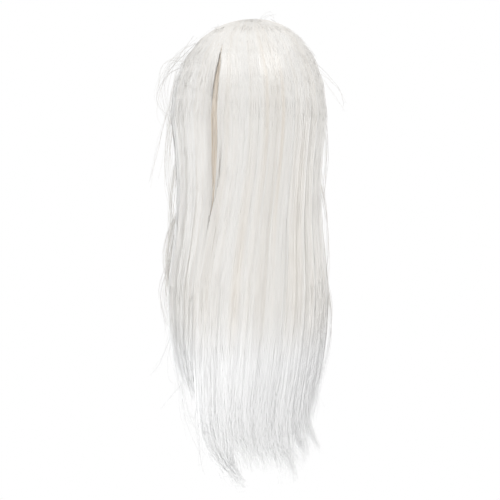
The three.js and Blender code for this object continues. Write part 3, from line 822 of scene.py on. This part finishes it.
def hair_material():
    """White hair: ivory above, whiter and lighter towards the tips, the extra lightness painted light; each
    strand a little lighter, darker or warmer, and its tone and warmth also carry painted shade.
    """
    made = bpy.data.materials.new("hair")
    made.use_nodes = True
    nodes, links = made.node_tree.nodes, made.node_tree.links
    shader = nodes["Principled BSDF"]
    shader.inputs["Roughness"].default_value = 0.34
    shader.inputs["Specular IOR Level"].default_value = 0.65
    place = nodes.new("ShaderNodeTexCoord")
    height = nodes.new("ShaderNodeSeparateXYZ")
    links.new(place.outputs["Object"], height.inputs[0])
    down = nodes.new("ShaderNodeMapRange")
    down.interpolation_type = "SMOOTHSTEP"
    down.inputs["From Min"].default_value = LIT_WHITE_FROM
    down.inputs["From Max"].default_value = LIT_WHITE_BELOW
    links.new(height.outputs["Z"], down.inputs["Value"])
    tone = nodes.new("ShaderNodeAttribute")
    tone.attribute_name = "tone"
    stretch = nodes.new("ShaderNodeMapping")
    stretch.inputs["Scale"].default_value = (420, 420, 9)
    links.new(place.outputs["Object"], stretch.inputs["Vector"])
    streaks = nodes.new("ShaderNodeTexNoise")
    streaks.inputs["Scale"].default_value = 1
    streaks.inputs["Detail"].default_value = 2
    links.new(stretch.outputs["Vector"], streaks.inputs["Vector"])
    both = nodes.new("ShaderNodeMath")
    both.operation = "MULTIPLY_ADD"
    both.use_clamp = True
    links.new(streaks.outputs["Fac"], both.inputs[0])
    both.inputs[1].default_value = 0.15
    links.new(tone.outputs["Fac"], both.inputs[2])
    ivory = ramp(nodes, (0.815, 0.80, 0.77), (0.865, 0.853, 0.83), GREY_AND_SHADE)
    # the lower hair's lighter ramp: painted light
    white = ramp(nodes, (0.88, 0.88, 0.878), (0.94, 0.94, 0.938), GREY_AND_SHADE)
    for colours in (ivory, white):
        links.new(both.outputs[0], colours.inputs["Fac"])
    cool = mixed(nodes, links, down.outputs["Result"], ivory.outputs["Color"], white.outputs["Color"])
    warm = nodes.new("ShaderNodeAttribute")
    warm.attribute_name = "warm"
    # beige down to brown: the warmth of some hairs, and painted warm shade in the slit, the bands and the
    # bodies' insides
    beige = ramp(nodes, (0.74, 0.63, 0.50), (0.88, 0.79, 0.68), BROWN_AND_SHADE)
    links.new(both.outputs[0], beige.inputs["Fac"])
    fade = nodes.new("ShaderNodeMath")
    fade.operation = "MULTIPLY"
    fade.use_clamp = True
    above = nodes.new("ShaderNodeMath")
    above.operation = "SUBTRACT"
    above.inputs[0].default_value = 1
    links.new(down.outputs["Result"], above.inputs[1])
    links.new(warm.outputs["Fac"], fade.inputs[0])
    links.new(above.outputs[0], fade.inputs[1])
    colour = mixed(nodes, links, fade.outputs[0], cool, beige.outputs["Color"])
    links.new(colour, shader.inputs["Base Color"])
    return made


def net_material():
    """Beige net: fine crossed threads."""
    made = bpy.data.materials.new("net")
    made.use_nodes = True
    nodes, links = made.node_tree.nodes, made.node_tree.links
    shader = nodes["Principled BSDF"]
    shader.inputs["Roughness"].default_value = 0.85
    shader.inputs["Sheen Weight"].default_value = 0.2
    place = nodes.new("ShaderNodeTexCoord")
    heights = []
    for direction in ("DIAGONAL", "Z"):
        threads = nodes.new("ShaderNodeTexWave")
        threads.wave_type = "BANDS"
        threads.bands_direction = direction
        threads.inputs["Scale"].default_value = 160
        threads.inputs["Distortion"].default_value = 1.5
        threads.inputs["Detail Scale"].default_value = 2
        links.new(place.outputs["Object"], threads.inputs["Vector"])
        heights.append(threads.outputs["Fac"])
    both = nodes.new("ShaderNodeMath")
    both.operation = "MAXIMUM"
    links.new(heights[0], both.inputs[0])
    links.new(heights[1], both.inputs[1])
    beige = ramp(nodes, (0.52, 0.38, 0.26), (0.74, 0.60, 0.46))
    links.new(both.outputs[0], beige.inputs["Fac"])
    links.new(beige.outputs["Color"], shader.inputs["Base Color"])
    bump = nodes.new("ShaderNodeBump")
    bump.inputs["Strength"].default_value = 0.4
    bump.inputs["Distance"].default_value = 0.4 * MM
    links.new(both.outputs[0], bump.inputs["Height"])
    links.new(bump.outputs["Normal"], shader.inputs["Normal"])
    return made


MATERIALS = {"hair": hair_material(), "net": net_material()}

CAMERA_REACH = 2.4
PIXEL = 1.3 * MM
PHOTO = 500
WORLD_LIGHT = 0.3


def facing(turn, rise):
    """The direction from the wig to something that looks at it."""
    return np.array([math.sin(turn) * math.cos(rise), -math.cos(turn) * math.cos(rise), math.sin(rise)])


def camera():
    aim = np.array([0, -CROWN_BACK, -0.2815]) + IMAGE_RIGHT * 1.5 * PIXEL
    data = bpy.data.cameras.new("camera")
    data.lens = data.sensor_width * CAMERA_REACH / (PHOTO * PIXEL)
    data.clip_end = 50
    made = bpy.data.objects.new("camera", data)
    made.location = aim + facing(CAMERA_TURN, CAMERA_RISE) * CAMERA_REACH
    made.rotation_euler = (math.pi / 2 - CAMERA_RISE, 0, CAMERA_TURN)
    bpy.context.scene.collection.objects.link(made)
    bpy.context.scene.camera = made


def softbox(name, azimuth, elevation, reach, size, power, aim=(0, 0, -0.2), colour=(1, 1, 1)):
    """A square light that looks at the wig from a direction given as the camera's is."""
    turn, rise = math.radians(azimuth), math.radians(elevation)
    data = bpy.data.lights.new(name, "AREA")
    data.size = size
    data.energy = power
    data.color = colour
    made = bpy.data.objects.new(name, data)
    made.location = np.array(aim) + facing(turn, rise) * reach
    made.rotation_euler = (math.pi / 2 - rise, 0, turn)
    bpy.context.scene.collection.objects.link(made)


def world():
    made = bpy.data.worlds.new("world")
    made.use_nodes = True
    nodes, links = made.node_tree.nodes, made.node_tree.links
    nodes["Background"].inputs["Color"].default_value = (1, 1, 1, 1)
    seen = nodes.new("ShaderNodeLightPath")
    strength = nodes.new("ShaderNodeMapRange")
    strength.inputs["To Min"].default_value = WORLD_LIGHT
    strength.inputs["To Max"].default_value = 1.0
    links.new(seen.outputs["Is Camera Ray"], strength.inputs["Value"])
    links.new(strength.outputs["Result"], nodes["Background"].inputs["Strength"])
    bpy.context.scene.world = made
    bpy.context.scene.view_settings.view_transform = "Standard"


def floor():
    """A pale round floor well under the tips."""
    bpy.ops.mesh.primitive_circle_add(vertices=96, radius=2.2, fill_type="NGON", location=(0, 0, -1.25))
    made = bpy.context.object
    made.name = "floor"
    pale = bpy.data.materials.new("pale")
    pale.use_nodes = True
    shader = pale.node_tree.nodes["Principled BSDF"]
    shader.inputs["Base Color"].default_value = (0.86, 0.86, 0.86, 1)
    shader.inputs["Roughness"].default_value = 0.7
    shader.inputs["Emission Color"].default_value = (1, 1, 1, 1)
    shader.inputs["Emission Strength"].default_value = 0.25
    made.data.materials.append(pale)


camera()
world()
floor()
softbox("key", 155, 48, 2.0, 1.0, 24.5)
softbox("top", 150, 82, 1.8, 1.0, 5)
softbox("left", 32, 6, 2.0, 1.6, 17.5, aim=(0, 0, -0.35), colour=(0.92, 0.96, 1))
softbox("right", 270, 6, 2.0, 1.6, 18, aim=(0, 0, -0.35))
softbox("low", 178, -38, 0.8, 0.7, 3.3, aim=(0, 0, -0.56))
softbox("low_left", 82, -36, 0.9, 0.7, 4.8, aim=(0, 0, -0.52))

for name in FALLS:
    body(name)
fall_strands("back_hair", "_strands", 2150, 210, roots=0.05)
fall_strands("back_hair", "_under_strands", 1500, 160, depths=(0.91, 0.96))
fall_strands("left_side_hair", "_strands", 2150, 150, ragged=0.055)
fall_strands("right_side_hair", "_strands", 1500, 150, ragged=0.055)
fall_strands("fringe", "_strands", 1000, 80)
crown_strands(700)
parting_strands("slit_top_strands", LEFT_PARTING, 190, 0.06, (0.46, 0.54), 4, beside=0.42)
parting_strands("slit_edge_strands", SLIT_RIGHT_EDGE, 150, 0.25, (0.95, 1.2), 2.8)
parting_strands("left_parting_strands", LEFT_PARTING, 110, 1.26, (1.6, 1.8), 3)
parting_strands("right_parting_strands", RIGHT_PARTING, 150, 0.1, (1.2, 1.75), 3, rings=14)
parting_strands("left_temple_strands", LEFT_TEMPLE, 60, 0.08, (0.4, 0.7), 5)
parting_strands("right_temple_strands", RIGHT_TEMPLE, 60, 0.08, (0.4, 0.7), 5)
inner_strands("back_hair", 600, 0.26)
inner_strands("left_side_hair", 380, 0.2, temple=0, at_temple=80)
inner_strands("right_side_hair", 380, 0.2, temple=1, at_temple=80)
inner_strands("fringe", 120, 0.4)
slit_strands(330)
loose_strands()

cap = next(o for o in bpy.data.objects if o.type == "MESH" and o.name.startswith("cap"))
cap.data.materials.clear()
cap.data.materials.append(MATERIALS["net"])
whorl = next(o for o in bpy.data.objects if o.type == "MESH" and o.name.startswith("crown_whorl"))
whorl.data.materials.clear()
whorl.data.materials.append(MATERIALS["hair"])
